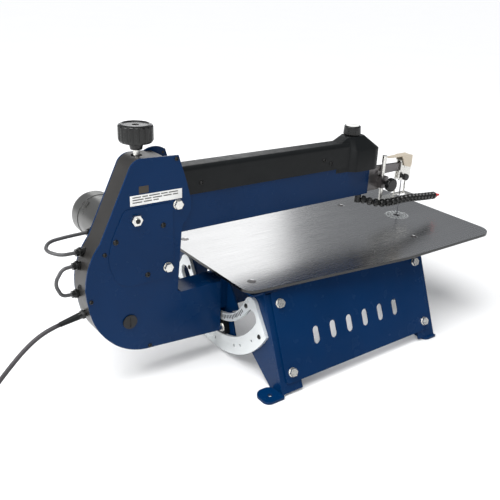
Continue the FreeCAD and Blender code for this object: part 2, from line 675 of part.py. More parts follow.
def blade_clamp(pivot_z, low, high, jaw_low, jaw_high, *holes):
    """Two plates on the bell crank's pin with a jaw that grips the blade."""
    x = D.blade_place
    pieces = []
    for side in (-1, 1):
        inner = 4.2 if side > 0 else -7.2
        pieces.append(plate("XZ_Plane", inner, 3, rounded((x - 15, low, 3), (x + 17, low, 3),
                                                          (x + 17, high, 3), (x - 13, high, 3)),
                            *holes))
        jaw = sorted((side * 0.6, side * 4.2))
        pieces.append(box((x - 9, jaw[0], jaw_low), (x + 11, jaw[1], jaw_high)))
    pieces.append(cylinder("pin_radius", 16, (x, -8, pivot_z), Y_AXIS))
    return pieces


def front_works():
    front_rocker("upper_front_rocker", UPPER_PIVOT_Z, UPPER_ROD_Z)
    front_rocker("lower_front_rocker", LOWER_PIVOT_Z, LOWER_ROD_Z)
    x = D.blade_place
    upper = blade_clamp(UPPER_PIVOT_Z, 257, 301, 259, 274, circle(x + 8, 296, 2.56))
    node("upper_blade_clamp", fuse(*upper))
    lower = blade_clamp(LOWER_PIVOT_Z, 92, 135, 119, 133)
    screw = cylinder(7, 8, (x, -15.2, 126), Y_AXIS)
    node("lower_blade_clamp", fuse(*lower, screw))
    half_w, half_t = D.blade_width / 2, D.blade_thick / 2
    lower_bite = box((x - half_w, -0.6, 120), (x + half_w, 0.6, 132))
    blade = box((x - half_w, -half_t, 120), (x + half_w, half_t, 272))
    node("blade", fuse(blade, lower_bite))
    knob = turned([(0, 0), (4, 0), (4, 4), (6.8, 5), (6.8, 13, 1.5), (0, 13)])
    ring_of_pockets(knob, circle(8, 0, 1.8), 10)
    knob.Placement = placed((x - 6, -7.3, 266), (0, -1, 0))
    node("upper_clamp_knob", knob)
    roof = plate("XY_Plane", 307.5, 2, rounded((x - 48, -4, 3), (x + 12, -10.5, 3),
                                               (x + 12, 10.5, 3), (x - 48, 4, 3)))
    ears = [plate("XZ_Plane", y, 2, rounded((x - 16, 309.5, 1), (x + 15, 309.5, 2),
                                           (x + 15, 283, 4), (x - 6, 288, 4)))
            for y in (-10.3, 8.3)]
    node("tension_lever", fuse(roof, *ears, cylinder("pin_radius - 0.5", 21, (x + 8, -10.5, 296),
                                                     Y_AXIS)))


# ---------------------------------------------------------------- upper arm
def upper_arm():
    half, low, high = D.arm_half, D.upper_arm_low, D.upper_arm_high
    rear = D.lift_pivot_x - 26
    channel = cut(box((rear, -half, low), (D.upper_arm_front, half, high)),
                  box((rear - 1, 3 - half, low - 1), (D.upper_arm_front + 1, half - 3, high - 3)))
    tail = box((-346, -half, 326), (rear + 30, half, 334))
    neck = box((rear, -half, high), (rear + 22, half, 330))
    pivot = cylinder(6.05, 60, (D.lift_pivot_x, -30, D.lift_pivot_z), Y_AXIS)
    node("upper_arm_channel", cut(fuse(channel, neck, tail), pivot))
    shell = plate("YZ_Plane", -258, 357, rounded((-COVER_HALF, 309), (COVER_HALF, 309),
                                                 (COVER_HALF, 355, 8), (-COVER_HALF, 355, 8)))
    cavity = plate("YZ_Plane", -255, 366, rounded((-16.2, 300), (16.2, 300), (16.2, 352, 6),
                                                  (-16.2, 352, 6)))
    places = ((-222, 326, -1), (38, 330, -1), (55, 322, -1), (-222, 326, 1), (45, 326, 1))
    bores = [cylinder("screw_radius", 8, (x, side * COVER_HALF - 4, z), Y_AXIS)
             for x, z, side in places]
    notch = box((-259, -16.2, 300), (-254, 16.2, D.upper_arm_high + 0.1))
    node("upper_arm_cover", cut(shell, cavity, notch, housing_block(), *bores))
    screws = [button_screw((x, side * COVER_HALF, z), (0, side, 0), 3.8, 2.5) for x, z, side in places]
    node("arm_cover_screws", group(*screws))
    cheeks = [plate("XZ_Plane", y, 4, rounded((112, 251), (204, 251, 14), (204, 299, 8), (112, 299)),
                    circle(D.front_pivot_x, UPPER_PIVOT_Z, D.pin_radius + 1.05))
              for y in (-12.8, 8.8)]
    web = box((112, -12.8, 299), (180, 12.8, 303))
    clamp = cut(box((D.hold_x - 9, D.hold_y - 8, 256), (D.hold_x + 9, -8.9, 278)),
                cylinder("hold_radius + 0.06", 40, (D.hold_x, D.hold_y, 250)))
    node("front_bracket", cut(fuse(*cheeks, web, clamp),
                              cylinder("hold_radius + 0.06", 40, (D.hold_x, D.hold_y, 250)),
                              cylinder(3.1, 9, (D.hold_x, D.hold_y - 12, 267), Y_AXIS)))


COVER_HALF = 18.8


def level_outline(z, side):
    """A level outline for a loft: one side's corners, mirrored about the arm."""
    drawing = doc.addObject("Sketcher::SketchObject", "Section")
    mirrored = [(x, -y, radius) for x, y, radius in reversed(side)]
    for edge in rounded(*side, *mirrored):
        drawing.addGeometry(edge, False)
    drawing.Placement = placed((0, 0, z))
    return drawing


def skirt(z, wall=0):
    """The housing's outline under its hood: narrow inside the arm's cover, wide in front of it."""
    narrow, wide, rear, front = 18, 28, 52, 178
    return level_outline(z, [(rear + wall, wall + 3 - narrow, 5), (100 + wall / 2, wall - narrow, 12),
                             (112 + wall / 2, wall - wide, 12), (front - wall, wall - wide, 0.72 * wide)])


def loft(*sections):
    item = doc.addObject("Part::Loft", "Loft")
    item.Sections = list(sections)
    item.Solid = True
    item.Ruled = True
    return item


def housing_block():
    """The control housing's outer shape: an upright skirt under a sloping hood."""
    crown = level_outline(365, [(99, -9, 4), (104, -13, 4), (110, -15, 5), (142, -15, 8)])
    return loft(skirt(300), skirt(340), crown)


def control_housing():
    """The box at the arm's front that holds the speed control and the switch."""
    x = D.speed_x
    outside = housing_block()
    inside = loft(skirt(299, 3), skirt(338, 3))
    attic = cone(22, 9, 22, (x, 0, 339))
    mouth = box((40, -16.2, 299), (200, 16.2, 313))
    stem = cylinder(4.2, 20, (x, 0, 355))
    slot = box((149, 1, 330), (167, 19, 372))
    node("control_housing", cut(outside, inside, attic, mouth, stem, slot))
    knob = turned([(0, 0), (D.speed_radius - 2, 0), (D.speed_radius, 2, 1),
                   (D.speed_radius - 1, 17, 2), (0, 17)])
    ring_of_pockets(knob, circle(D.speed_radius + 0.6, 0, 1.5), 24)
    knob.Placement = placed((x, 0, 366))
    spindle = cylinder(4, 12, (x, 0, 354.5))
    node("speed_knob", fuse(knob, spindle))
    paddle = plate("XZ_Plane", 2, 16, rounded((150.2, 338, 1), (165.8, 338, 1), (165.8, 351, 2),
                                              (158, 356, 12), (150.2, 360.5, 2)))
    node("power_switch", fuse(paddle, cylinder(2, 17.4, (158, 1.3, 345), Y_AXIS)))


def hold_down():
    x, y = D.hold_x, D.hold_y
    cap = cylinder("hold_radius + 1.4", 14, (x, y, 306))
    node("hold_down_rod", fuse(cylinder("hold_radius", 98, (x, y, 222)), cap))
    blade = D.blade_place
    foot = plate("XY_Plane", 219, 3, rounded((x - 8, y - 5, 5), (blade + 34, -13, 5),
                                             (blade + 34, 17, 6), (blade - 16, 17, 5), (x - 8, 4, 5)),
                 rounded((blade - 12, -8, 4), (blade + 24, -8, 4), (blade + 24, 10, 4),
                         (blade - 12, 10, 4)))
    node("hold_down_foot", foot)
    screw = cylinder(3, 14, (x, y - 18, 267), Y_AXIS)
    lobed = turned([(0, 0), (6, 0), (6, 5), (13.5, 7, 2), (13.5, 17, 3), (0, 17)])
    ring_of_pockets(lobed, circle(16.5, 0, 5), 6)
    lobed.Placement = placed((x, y - 13, 267), (0, -1, 0))
    node("hold_down_knob", fuse(lobed, screw))
    node("guard_wire", wire_guard(blade))


def route_tube(points, diameter, bend=None):
    """A round tube along straight runs joined by tangent arcs, each as large as its runs allow."""
    points = [Vector(*each) for each in points]
    edges = []
    start = points[0]
    for index in range(1, len(points) - 1):
        here = points[index]
        back, ahead = points[index - 1] - here, points[index + 1] - here
        turn = math.pi - back.getAngle(ahead)
        run = 0.45 * min(back.Length, ahead.Length)
        if bend:
            run = min(run, bend * math.tan(turn / 2))
        radius = run / math.tan(turn / 2)
        back.normalize()
        ahead.normalize()
        middle = here + (back + ahead).normalize() * (radius / math.cos(turn / 2) - radius)
        first, last = here + back * run, here + ahead * run
        edges.append(Part.LineSegment(start, first).toShape())
        edges.append(Part.Arc(first, middle, last).toShape())
        start = last
        RADII.append(radius / diameter)
    edges.append(Part.LineSegment(start, points[-1]).toShape())
    path = Part.Wire(edges)
    section = Part.Wire(Part.Circle(points[0], points[1] - points[0], diameter / 2).toShape())
    solid = path.makePipeShell([section], True, True)
    LENGTHS.append((path.Length, solid.Volume / (math.pi * diameter ** 2 / 4)))
    return solid


RADII, LENGTHS = [], []


def feature(shape):
    item = doc.addObject("Part::Feature", "Route")
    item.Shape = shape
    return item


def wire_guard(blade):
    """The bent wire over the blade: two legs on the foot joined by a top bar."""
    rear, front, y, low, high = blade - 2, blade + 28, 13.8, 222, 291
    return feature(route_tube([(rear, y, low), (rear, y, high), (front, y, high), (front, y, low)],
                              3.6, 7))


# ---------------------------------------------------------------- hose
HOSE = [(146, -14, 238.5), (158, -22, 234.5), (174, -35, 231.5), (198, -42, 231), (228, -42.5, 231.5),
        (258, -40.5, 230), (291, -36, 225), (326, -31, 220), (357, -27, 216)]
SWIVEL = (141, -10, 232)
HOSE_RADIUS = 8
ARM_UNDERSIDE = D.upper_arm_low - 0.4


def air_hose():
    """A string of ball-jointed links from a swivel under the arm to a nozzle near the blade."""
    path = Part.BSplineCurve()
    path.interpolate([Vector(*each) for each in HOSE])
    count = 17
    first, last = path.FirstParameter, path.LastParameter
    links = []
    places = [path.value(first + (last - first) * index / count) for index in range(count + 1)]
    for here, there in zip(places[:-1], places[1:]):
        pitch = (there - here).Length
        links.append(turned([(0, 0), (0.7 * HOSE_RADIUS, 0), (HOSE_RADIUS, 0.2 * pitch),
                             (HOSE_RADIUS, 0.6 * pitch), (0.65 * HOSE_RADIUS, 0.85 * pitch),
                             (0.65 * HOSE_RADIUS, 0.96 * pitch), (0, 0.96 * pitch)],
                            here, there - here))
    swivel = cylinder(6.5, ARM_UNDERSIDE - SWIVEL[2], SWIVEL)
    node("air_hose", group(*links, swivel))
    aim = (places[-1] - places[-2]).normalize()
    node("hose_nozzle", turned([(0, 0), (5, 0), (5, 3), (3.4, 5), (2.4, 15), (0, 15)],
                               places[-1] + aim * 0.3, aim))


# ---------------------------------------------------------------- leads
MOTOR_LEAD = [(-384.3, 60, 246), (-420, 60, 245), (-446, 59, 243), (-461, 35, 240),
              (-446, 11, 238), (-424.4, 10, 238)]
SWITCH_LEAD = [(-431.2, 8, 218), (-446, 8, 217), (-460, 8, 196), (-450, 8, 173), (-435.2, 8, 172)]
MAINS = [(-482, 0, 126.4), (-512, -1, 109), (-544, -5, 82), (-574, -6, 50), (-600, -2, 22),
         (-628, 7, 5), (-664, 16, 3.6), (-706, 13, 3.6), (-742, -4, 3.6)]
TAIL = [(-752, -79, 4.5), (-736, -95, 9), (-717, -101.196, 9)]
COIL_CENTRE = (-724, -41.9)
COIL_RADIUS, COIL_WALL, COIL_HEIGHT = 42, 16, 29
PLUG_AIM = (0.92, -0.30, 0)
LEAD_DIAMETER = 5.6
RELIEF_LENGTH = 30


def gland(base, along):
    neck = Vector(*base) - Vector(*along) * GLAND_NECK
    return fuse(prism(6, GLAND_RADIUS + 2.4, 4, base, along),
                cylinder(GLAND_RADIUS, GLAND_NECK + GLAND_NOSE, neck, along))


GLAND_NECK, GLAND_NOSE = 7, 9


def leads():
    base, along = MOTOR_GLAND
    first = fuse(prism(6, GLAND_RADIUS + 2.4, 4, base, along),
                 cylinder(GLAND_RADIUS, GLAND_NOSE, base, along))
    node("cable_glands", group(first, *[gland(*place) for place in BAND_GLANDS]))
    node("motor_lead", feature(route_tube(MOTOR_LEAD, LEAD_DIAMETER)))
    node("switch_lead", feature(route_tube(SWITCH_LEAD, LEAD_DIAMETER)))
    base, along = BAND_GLANDS[-1]
    aim = Vector(*along).normalize()
    relief = Vector(*base) + aim * (GLAND_NOSE + 0.2)
    node("strain_relief", cone(5.4, 4.0, RELIEF_LENGTH, relief, aim))
    start = relief + aim * (RELIEF_LENGTH + 0.4)
    whole = [feature(route_tube([start] + MAINS, D.cord_diameter)),
             feature(route_tube(TAIL, D.cord_diameter))]
    node("mains_cord", group(*whole))
    x, y = COIL_CENTRE
    node("mains_coil", cut(cylinder(COIL_RADIUS + COIL_WALL / 2, COIL_HEIGHT, (x, y, 0)),
                           cylinder(COIL_RADIUS - COIL_WALL / 2, COIL_HEIGHT + 2, (x, y, -1))))
    plug()


def plug():
    """The moulded plug on the cord's far end, with three flat pins, lying beside the coil."""
    aim = Vector(*PLUG_AIM)
    boot = cylinder(6, 12, (0, 0, 0), X_AXIS)
    body = plate("XY_Plane", -9, 18, rounded((8, -13, 6), (32, -13, 6), (32, 13, 6), (8, 13, 6)))
    pins = [box((31, side - 3, 0.5), (50, side + 3, 2.2)) for side in (-7.5, 7.5)]
    pins.append(box((31, -0.9, -6), (50, 0.9, -1)))
    whole = fuse(boot, body, *pins)
    whole.Placement = Placement(Vector(*TAIL[-1]), Rotation(X_AXIS, aim))
    node("mains_plug", whole)


def tension():
    x = D.tension_x
    knob = turned([(5.2, -11), (9, -11), (11, -2, 1), (24, 0, 2), (26, 4, 2), (26, 25, 3), (21, 27.5, 2),
                   (18, 25.5), (5.2, 25.5)])
    ring_of_pockets(knob, circle(28.2, 0, 3.6), 18)
    knob.Placement = placed((x, 0, 399))
    node("tension_knob", knob)
    node("tension_rod", cylinder(5, 88, (x, 0, 335)))


def head():
    column()
    rear_band()
    mechanism_cover()
    lower_arm()
    frame_fixings(tilt_sectors())
    tilt_drive()
    motor()
    ring = rocker()
    bridge = box((D.motor_x + 19, 8, D.motor_z - 6), (D.rocker_x - 5, 12.6, D.motor_z + 1))
    pin = cylinder("pin_radius", 6.6, (D.rocker_x - 11, 6, D.motor_z), Y_AXIS)
    node("connecting_rod", fuse(ring, bridge, pin))
    push_rod("upper_push_rod", UPPER_ROD_Z)
    push_rod("lower_push_rod", LOWER_ROD_Z)
    front_works()
    upper_arm()
    control_housing()
    hold_down()
    air_hose()
    leads()
    tension()


# ---------------------------------------------------------------- check and write
base()
head()
doc.recompute()
for item in doc.Objects:
    if {"Invalid", "Error"} & set(item.State):
        raise RuntimeError(f"{item.Name} ({item.Label}) failed: {item.State}")
for name, item in NODES.items():
    if item.Shape.isNull() or not item.Shape.isValid() or not item.Shape.Solids:
        raise RuntimeError(f"{name} has no valid solid")
print("smallest bend radii, in diameters:", sorted(round(radius, 1) for radius in RADII)[:12])
print("path length and volume length:", [(round(a), round(b)) for a, b in LENGTHS])
print(len(NODES), "nodes")
os.makedirs("parts", exist_ok=True)
for name, item in NODES.items():
    item.Shape.exportStep(f"parts/{name}.step")
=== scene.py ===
"""Looks of the bench scroll saw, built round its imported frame. Metres, in the frame's own axes."""

import json
import math

import bmesh
import bpy
from mathutils import Matrix, Vector


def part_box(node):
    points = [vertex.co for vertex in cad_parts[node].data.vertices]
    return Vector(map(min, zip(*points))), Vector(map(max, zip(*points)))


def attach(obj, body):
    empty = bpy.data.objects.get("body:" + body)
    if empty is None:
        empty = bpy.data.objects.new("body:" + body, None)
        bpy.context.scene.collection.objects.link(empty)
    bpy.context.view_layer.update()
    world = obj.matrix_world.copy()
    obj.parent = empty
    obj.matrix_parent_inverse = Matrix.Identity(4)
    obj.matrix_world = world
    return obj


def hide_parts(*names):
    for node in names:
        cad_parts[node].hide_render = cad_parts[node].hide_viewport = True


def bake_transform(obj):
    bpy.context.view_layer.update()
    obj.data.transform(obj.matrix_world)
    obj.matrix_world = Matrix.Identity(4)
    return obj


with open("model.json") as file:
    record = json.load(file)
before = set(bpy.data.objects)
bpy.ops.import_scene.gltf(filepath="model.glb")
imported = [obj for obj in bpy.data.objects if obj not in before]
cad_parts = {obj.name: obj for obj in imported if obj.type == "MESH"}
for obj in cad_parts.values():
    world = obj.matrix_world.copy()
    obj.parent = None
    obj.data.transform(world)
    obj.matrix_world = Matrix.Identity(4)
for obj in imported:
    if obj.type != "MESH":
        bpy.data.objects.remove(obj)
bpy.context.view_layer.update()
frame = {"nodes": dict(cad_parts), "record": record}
SLOT_OF = {part["node"]: part["material_slot"] for part in frame["record"]["subparts"]}
MM = 0.001
WELD_GAP = 1e-6
CREASE_ANGLE = 28


# ---------------------------------------------------------------- small helpers
def link(obj):
    bpy.context.scene.collection.objects.link(obj)
    return obj


def mesh_piece(name, bm, slot, body=None, smooth=True, finish=None):
    """A finished bmesh as a named piece with its slot's material or another, riding on a body."""
    mesh = bpy.data.meshes.new(name)
    bmesh.ops.recalc_face_normals(bm, faces=bm.faces)
    bm.to_mesh(mesh)
    bm.free()
    mesh.polygons.foreach_set("use_smooth", [smooth] * len(mesh.polygons))
    piece = link(bpy.data.objects.new(name, mesh))
    mesh.materials.append(MATERIALS[finish or slot])
    if body:
        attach(piece, body)
    return piece


def soften(piece, width, segments=3):
    """Rounds a piece's edges and keeps its flat faces flat."""
    rounding = piece.modifiers.new("rounding", "BEVEL")
    rounding.width = width
    rounding.segments = segments
    rounding.limit_method = "ANGLE"
    rounding.angle_limit = math.radians(35)
    rounding.harden_normals = True


def add_box(bm, low, high):
    """An upright box between two corners, added to a bmesh."""
    low, high = Vector(low), Vector(high)
    size = high - low
    place = Matrix.Translation((low + high) / 2) @ Matrix.Diagonal((*size, 1))
    return bmesh.ops.create_cube(bm, size=1, matrix=place)["verts"]


def join_rings(bm, rings):
    """A band of four-sided faces between each ring of points and the next."""
    for lower, upper in zip(rings[:-1], rings[1:]):
        for step in range(len(lower)):
            after = (step + 1) % len(lower)
            bm.faces.new((lower[step], lower[after], upper[after], upper[step]))


def cap_rings(bm, rings):
    """Closes a row of rings into a solid, with a face at each end and bands between."""
    join_rings(bm, rings)
    bm.faces.new(rings[0])
    bm.faces.new(rings[-1])


def add_rings(bm, profile, place, steps):
    """Round rings of points at (radius, height) places, added to a bmesh."""
    turns = [2 * math.pi * step / steps for step in range(steps)]
    return [[bm.verts.new(place @ Vector((radius * math.cos(turn), radius * math.sin(turn), height)))
             for turn in turns] for radius, height in profile]


def add_lathe(bm, profile, place, steps=48):
    """A turned solid from (radius, height) points."""
    cap_rings(bm, add_rings(bm, profile, place, steps))


def towards(origin, direction):
    """A matrix that stands a shape's own Z axis along a direction at a place."""
    turn = Vector(direction).to_track_quat("Z", "Y").to_matrix().to_4x4()
    return Matrix.Translation(Vector(origin)) @ turn


# ---------------------------------------------------------------- materials
class Nodes:
    """A short way to lay out one material's nodes."""

    def __init__(self, name):
        self.material = bpy.data.materials.new(name)
        self.material.use_nodes = True
        self.tree = self.material.node_tree
        self.shader = self.tree.nodes["Principled BSDF"]
        self.place = self.add("ShaderNodeTexCoord").outputs["Object"]

    def add(self, kind, **settings):
        made = self.tree.nodes.new(kind)
        for key, value in settings.items():
            setattr(made, key, value)
        return made

    def wire(self, source, target):
        self.tree.links.new(source, target)

    def noise(self, scale, detail=3.0, stretch=(1, 1, 1)):
        mapping = self.add("ShaderNodeMapping")
        mapping.inputs["Scale"].default_value = stretch
        self.wire(self.place, mapping.inputs["Vector"])
        grain = self.add("ShaderNodeTexNoise")
        grain.inputs["Scale"].default_value = scale
        grain.inputs["Detail"].default_value = detail
        self.wire(mapping.outputs["Vector"], grain.inputs["Vector"])
        return grain.outputs["Fac"]

    def spread(self, factor, low, high, from_low=0.3, from_high=0.7):
        """Maps a factor's usual range to a low and a high value."""
        ranged = self.add("ShaderNodeMapRange")
        for key, value in (("From Min", from_low), ("From Max", from_high), ("To Min", low),
                           ("To Max", high)):
            ranged.inputs[key].default_value = value
        self.wire(factor, ranged.inputs["Value"])
        return ranged.outputs["Result"]

    def blend(self, factor, first, second):
        mix = self.add("ShaderNodeMix", data_type="RGBA")
        self.wire(factor, mix.inputs["Factor"])
        for socket, colour in ((mix.inputs[6], first), (mix.inputs[7], second)):
            if hasattr(colour, "is_linked"):
                self.wire(colour, socket)
            else:
                socket.default_value = (*colour, 1)
        return mix.outputs[2]

    def bump(self, height, distance, strength=0.5, under=None):
        made = self.add("ShaderNodeBump")
        made.inputs["Strength"].default_value = strength
        made.inputs["Distance"].default_value = distance
        self.wire(height, made.inputs["Height"])
        if under:
            self.wire(under, made.inputs["Normal"])
        return made.outputs["Normal"]

    def round_edges(self, radius):
        """A normal that turns smoothly over sharp edges, and a factor that is 1 on them."""
        bevel = self.add("ShaderNodeBevel", samples=4)
        bevel.inputs["Radius"].default_value = radius
        geometry = self.add("ShaderNodeNewGeometry")
        across = self.add("ShaderNodeVectorMath", operation="DOT_PRODUCT")
        self.wire(bevel.outputs["Normal"], across.inputs[0])
        self.wire(geometry.outputs["Normal"], across.inputs[1])
        return bevel.outputs["Normal"], self.spread(across.outputs["Value"], 1, 0, 0.86, 0.99)

    def set(self, **values):
        for key, value in values.items():
            self.shader.inputs[key.replace("_", " ")].default_value = value


def tone(colour, share):
    return tuple(channel * share for channel in colour)


def painted(name, colour, rough, metal=0.0, shine=0.5, edge=1.8):
    """Paint on sheet metal: faint orange peel, uneven gloss, and paler rubbed edges."""
    mat = Nodes(name)
    normal, on_edge = mat.round_edges(0.0007)
    cloud = mat.blend(mat.spread(mat.noise(7), 0, 1), tone(colour, 0.90), tone(colour, 1.10))
    rubbed = mat.add("ShaderNodeMath", operation="MULTIPLY")
    mat.wire(on_edge, rubbed.inputs[0])
    mat.wire(mat.spread(mat.noise(60), 0.1, 0.75), rubbed.inputs[1])
    pale = tuple(min(1, channel * edge + 0.02) for channel in colour)
    mat.wire(mat.blend(rubbed.outputs[0], cloud, pale), mat.shader.inputs["Base Color"])
    mat.wire(mat.spread(mat.noise(35, 5), rough - 0.05, rough + 0.06), mat.shader.inputs["Roughness"])
    mat.wire(mat.bump(mat.noise(650, 2), 0.00006, 0.6, normal), mat.shader.inputs["Normal"])
    mat.set(Metallic=metal, Specular_IOR_Level=shine)
    return mat.material


def bare_metal(name, colour, rough):
    """Plated or brushed metal: a fine grain in its gloss and height, and soft stains."""
    mat = Nodes(name)
    normal, _ = mat.round_edges(0.0005)
    grain = mat.noise(260, 4)
    cloud = mat.spread(mat.noise(14, 4), 0, 1)
    mat.wire(mat.blend(cloud, tone(colour, 0.88), colour), mat.shader.inputs["Base Color"])
    mat.wire(mat.spread(grain, rough - 0.06, rough + 0.09), mat.shader.inputs["Roughness"])
    mat.wire(mat.bump(grain, 0.00003, 0.5, normal), mat.shader.inputs["Normal"])
    mat.set(Metallic=1.0)
    return mat.material


def moulded(name, colour, rough, grain=900, relief=0.00012, shine=0.5):
    """Moulded plastic or rubber with a fine pebbled grain."""
    mat = Nodes(name)
    normal, on_edge = mat.round_edges(0.0008)
    cloud = mat.blend(mat.spread(mat.noise(20), 0, 1), tone(colour, 0.85), tone(colour, 1.18))
    pale = tuple(min(1, channel * 1.7 + 0.01) for channel in colour)
    mat.wire(mat.blend(on_edge, cloud, pale), mat.shader.inputs["Base Color"])
    mat.wire(mat.spread(mat.noise(120), rough - 0.06, rough + 0.06), mat.shader.inputs["Roughness"])
    mat.wire(mat.bump(mat.noise(grain, 2), relief, 0.5, normal), mat.shader.inputs["Normal"])
    mat.set(Specular_IOR_Level=shine)
    return mat.material


def table_steel():
    """Ground sheet steel: glossy, with fine scratches and soft handling marks; painted shade darkens
    its side faces and its rim.
    """
    mat = Nodes("table_steel")
    normal, on_edge = mat.round_edges(0.0009)
    lines = mat.noise(90, 6, (0.12, 9, 1))
    marks = mat.spread(mat.noise(5, 5, (0.6, 1.4, 1)), 0, 1, 0.35, 0.65)
    base = mat.blend(marks, (0.46, 0.46, 0.46), (0.55, 0.55, 0.55))
    # Painted shade: faces that do not point up get a near-black colour instead of the steel's own.
    geometry = mat.add("ShaderNodeNewGeometry")
    apart = mat.add("ShaderNodeSeparateXYZ")
    mat.wire(geometry.outputs["Normal"], apart.inputs[0])
    face = mat.blend(mat.spread(apart.outputs["Z"], 0, 1, 0.3, 0.7), (0.06, 0.06, 0.06), base)
    # Painted shade: a dark rim along every sharp edge.
    mat.wire(mat.blend(on_edge, face, (0.12, 0.12, 0.12)), mat.shader.inputs["Base Color"])
    mat.wire(mat.spread(lines, 0.20, 0.30), mat.shader.inputs["Roughness"])
    mat.wire(mat.bump(lines, 0.00001, 0.25, normal), mat.shader.inputs["Normal"])
    mat.set(Metallic=1.0)
    return mat.material


MATERIALS = {
    "blue_paint": painted("blue_paint", (0.0006, 0.021, 0.078), 0.24, shine=0.12, edge=1.5),
    "grey_paint": painted("grey_paint", (0.036, 0.034, 0.032), 0.36, metal=0.35),
    "table_steel": table_steel(),
    "trunnion_silver": painted("trunnion_silver", (0.78, 0.81, 0.81), 0.30, metal=0.35, edge=1.0),
    "zinc_steel": bare_metal("zinc_steel", (0.78, 0.77, 0.73), 0.27),
    "dark_steel": bare_metal("dark_steel", (0.20, 0.19, 0.19), 0.36),
    "blade_steel": bare_metal("blade_steel", (0.42, 0.42, 0.45), 0.30),
    "black_screws": painted("black_screws", (0.010, 0.010, 0.010), 0.33, metal=0.4),
    "black_plastic": moulded("black_plastic", (0.0065, 0.0075, 0.0080), 0.40, shine=0.18),
    "knob_plastic": moulded("knob_plastic", (0.0045, 0.0048, 0.0045), 0.24, relief=0.00005, shine=0.45),
    "white_plastic": moulded("white_plastic", (0.80, 0.80, 0.77), 0.45),
    "label_white": moulded("label_white", (0.80, 0.80, 0.78), 0.40, relief=0.00003),
    "motor_grey": painted("motor_grey", (0.13, 0.13, 0.125), 0.30, metal=0.7, edge=1.2),
    "lever_steel": painted("lever_steel", (0.66, 0.58, 0.46), 0.36, metal=0.25, edge=1.1),
    "switch_plastic": moulded("switch_plastic", (0.62, 0.66, 0.62), 0.25, relief=0.00003),
    "nozzle_red": moulded("nozzle_red", (0.62, 0.012, 0.012), 0.35, relief=0.00004),
    "lead_grey": moulded("lead_grey", (0.060, 0.060, 0.062), 0.38, relief=0.00003),
    "cord_rubber": moulded("cord_rubber", (0.030, 0.026, 0.030), 0.50, grain=1400),
    "sticker": moulded("sticker", (0.030, 0.022, 0.012), 0.35, relief=0.00002),
}


def dress_cad_nodes():
    """Gives each CAD node its slot's material, and smooth shading on its round faces."""
    for name, obj in frame["nodes"].items():
        obj.data.materials.clear()
        obj.data.materials.append(MATERIALS[SLOT_OF[name]])
        obj.data.polygons.foreach_set("use_smooth", [True] * len(obj.data.polygons))
        weld = obj.modifiers.new("join faces", "WELD")
        weld.merge_threshold = WELD_GAP
        crease = obj.modifiers.new("keep edges", "EDGE_SPLIT")
        crease.split_angle = math.radians(CREASE_ANGLE)


# ---------------------------------------------------------------- camera and light
CAMERA_PLACE = (-0.7711, -0.9065, 0.6511)
CAMERA_AZIMUTH, CAMERA_ELEVATION, CAMERA_ROLL = -39.89, 23.42, 3.59
LENS, SENSOR = 48.75, 36
SHIFT_X, SHIFT_Y = -0.08, 0.018
SUN_ENERGY, SUN_ANGLE, SUN_FROM = 3.0, 50, (-0.35, -0.12, 1)
SURROUND_COLOUR, SURROUND_STRENGTH = (0.92, 0.95, 1.0, 1), 0.30
FLOOR_SIZE, FLOOR_DROP = 30, 0.0006
LAMPS = (  # name, place, aim, width and height, power
    ("left_box", (-1.9, 0.2, 1.3), (-0.1, 0, 0.2), (1.2, 1.2), 22),
    ("table_box", (0.80, 2.1, 1.25), (0, 0, 0.18), (1.5, 1.2), 9),
    ("under_box", (0.10, 0, 0.160), (0.10, 0, 0), (0.30, 0.24), 0.5),
    ("front_box", (-0.95, -1.35, 0.8), (-0.4, 0, 0.22), (0.9, 0.7), 5),
)


def camera():
    """The view from the column's end of the near side, above the arms and looking down."""
    azimuth, elevation = math.radians(CAMERA_AZIMUTH), math.radians(CAMERA_ELEVATION)
    back = Vector((math.sin(azimuth) * math.cos(elevation), -math.cos(azimuth) * math.cos(elevation),
                   math.sin(elevation)))
    turn = back.to_track_quat("Z", "Y").to_matrix().to_4x4()
    roll = Matrix.Rotation(math.radians(CAMERA_ROLL), 4, "Z")
    data = bpy.data.cameras.new("camera")
    data.lens, data.sensor_width = LENS, SENSOR
    data.shift_x, data.shift_y = SHIFT_X, SHIFT_Y
    made = link(bpy.data.objects.new("camera", data))
    made.matrix_world = Matrix.Translation(CAMERA_PLACE) @ turn @ roll
    bpy.context.scene.camera = made


def softbox(name, place, aim, size, power):
    """A soft rectangular lamp that lights the object and is itself out of sight."""
    data = bpy.data.lights.new(name, "AREA")
    data.shape = "RECTANGLE"
    data.size, data.size_y = size
    data.energy = power
    lamp = link(bpy.data.objects.new(name, data))
    lamp.matrix_world = towards(place, Vector(place) - Vector(aim))
    lamp.visible_camera = False


def studio():
    """A pale floor, an even surround, a wide soft sun and four lamps.

    under_box is inside the base, and brightens the floor that shows through the slots.
    """
    bm = bmesh.new()
    bmesh.ops.create_grid(bm, x_segments=2, y_segments=2, size=FLOOR_SIZE)
    mesh = bpy.data.meshes.new("floor")
    bm.to_mesh(mesh)
    bm.free()
    floor = link(bpy.data.objects.new("floor", mesh))
    floor.location.z = -FLOOR_DROP
    pale = Nodes("floor")
    pale.wire(pale.blend(pale.noise(2), (0.86, 0.86, 0.86), (0.88, 0.88, 0.88)),
              pale.shader.inputs["Base Color"])
    pale.set(Roughness=0.9)
    mesh.materials.append(pale.material)
    world = bpy.data.worlds.new("surround")
    world.use_nodes = True
    background = world.node_tree.nodes["Background"]
    background.inputs["Color"].default_value = SURROUND_COLOUR
    background.inputs["Strength"].default_value = SURROUND_STRENGTH
    bpy.context.scene.world = world
    bpy.context.scene.view_settings.view_transform = "Standard"
    sun = bpy.data.lights.new("sun", "SUN")
    sun.energy, sun.angle = SUN_ENERGY, math.radians(SUN_ANGLE)
    lamp = link(bpy.data.objects.new("sun", sun))
    lamp.matrix_world = towards((0, 0, 2), SUN_FROM)
    for lamp_values in LAMPS:
        softbox(*lamp_values)


